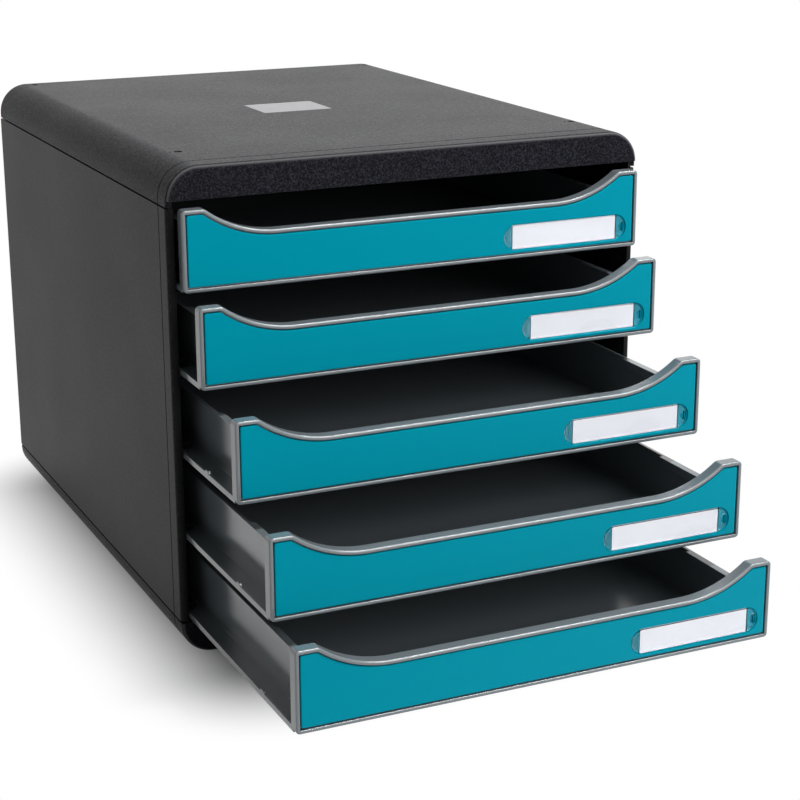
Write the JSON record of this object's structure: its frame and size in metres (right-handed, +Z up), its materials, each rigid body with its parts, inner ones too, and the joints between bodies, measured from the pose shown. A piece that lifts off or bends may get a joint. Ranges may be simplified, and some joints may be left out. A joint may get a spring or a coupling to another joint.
{
  "type": "desk file box with drawers",
  "caption": "Desktop file box with stacked sliding drawers for flat papers, each with a scooped front and a label window.",
  "frame": {"origin": "on the desk, at the middle of the cabinet's footprint, drawers not counted", "axes": "-Y is the way the drawers open, +X is to the right seen from the front, +Z is up"},
  "size_m": [0.278, 0.4991, 0.271],
  "materials": {
    "cover_plastic": "finely grained dark grey polystyrene",
    "panel_plastic": "finely grained charcoal polystyrene",
    "tray_plastic": "satin grey polystyrene",
    "front_plastic": "smooth teal polystyrene",
    "label_clear": "clear polystyrene",
    "label_paper": "plain white card",
    "plate_metal": "finely brushed, bare",
    "feet_rubber": "soft black"
  },
  "bodies": {
    "cabinet": {"top_cover": "cover_plastic", "base_cover": "cover_plastic", "left_side_panel": "panel_plastic", "right_side_panel": "panel_plastic", "back_panel": "cover_plastic", "top_plate": "plate_metal", "feet": "feet_rubber"},
    "drawer_1": {"drawer_1_tray": "tray_plastic", "drawer_1_fascia": "front_plastic", "drawer_1_label_window": "label_clear", "drawer_1_label_card": "label_paper"},
    "drawer_2": {"drawer_2_tray": "tray_plastic", "drawer_2_fascia": "front_plastic", "drawer_2_label_window": "label_clear", "drawer_2_label_card": "label_paper"},
    "drawer_3": {"drawer_3_tray": "tray_plastic", "drawer_3_fascia": "front_plastic", "drawer_3_label_window": "label_clear", "drawer_3_label_card": "label_paper"},
    "drawer_4": {"drawer_4_tray": "tray_plastic", "drawer_4_fascia": "front_plastic", "drawer_4_label_window": "label_clear", "drawer_4_label_card": "label_paper"},
    "drawer_5": {"drawer_5_tray": "tray_plastic", "drawer_5_fascia": "front_plastic", "drawer_5_label_window": "label_clear", "drawer_5_label_card": "label_paper"}
  },
  "joints": [
    {"name": "drawer_1_slide", "type": "slide", "parent": "cabinet", "child": "drawer_1", "axis": [0, -1, 0], "range_m": [-0.009, 0.221]},
    {"name": "drawer_2_slide", "type": "slide", "parent": "cabinet", "child": "drawer_2", "axis": [0, -1, 0], "range_m": [-0.0314, 0.1986]},
    {"name": "drawer_3_slide", "type": "slide", "parent": "cabinet", "child": "drawer_3", "axis": [0, -1, 0], "range_m": [-0.0793, 0.1507]},
    {"name": "drawer_4_slide", "type": "slide", "parent": "cabinet", "child": "drawer_4", "axis": [0, -1, 0], "range_m": [-0.1219, 0.1081]},
    {"name": "drawer_5_slide", "type": "slide", "parent": "cabinet", "child": "drawer_5", "axis": [0, -1, 0], "range_m": [-0.1521, 0.0779]}
  ]
}
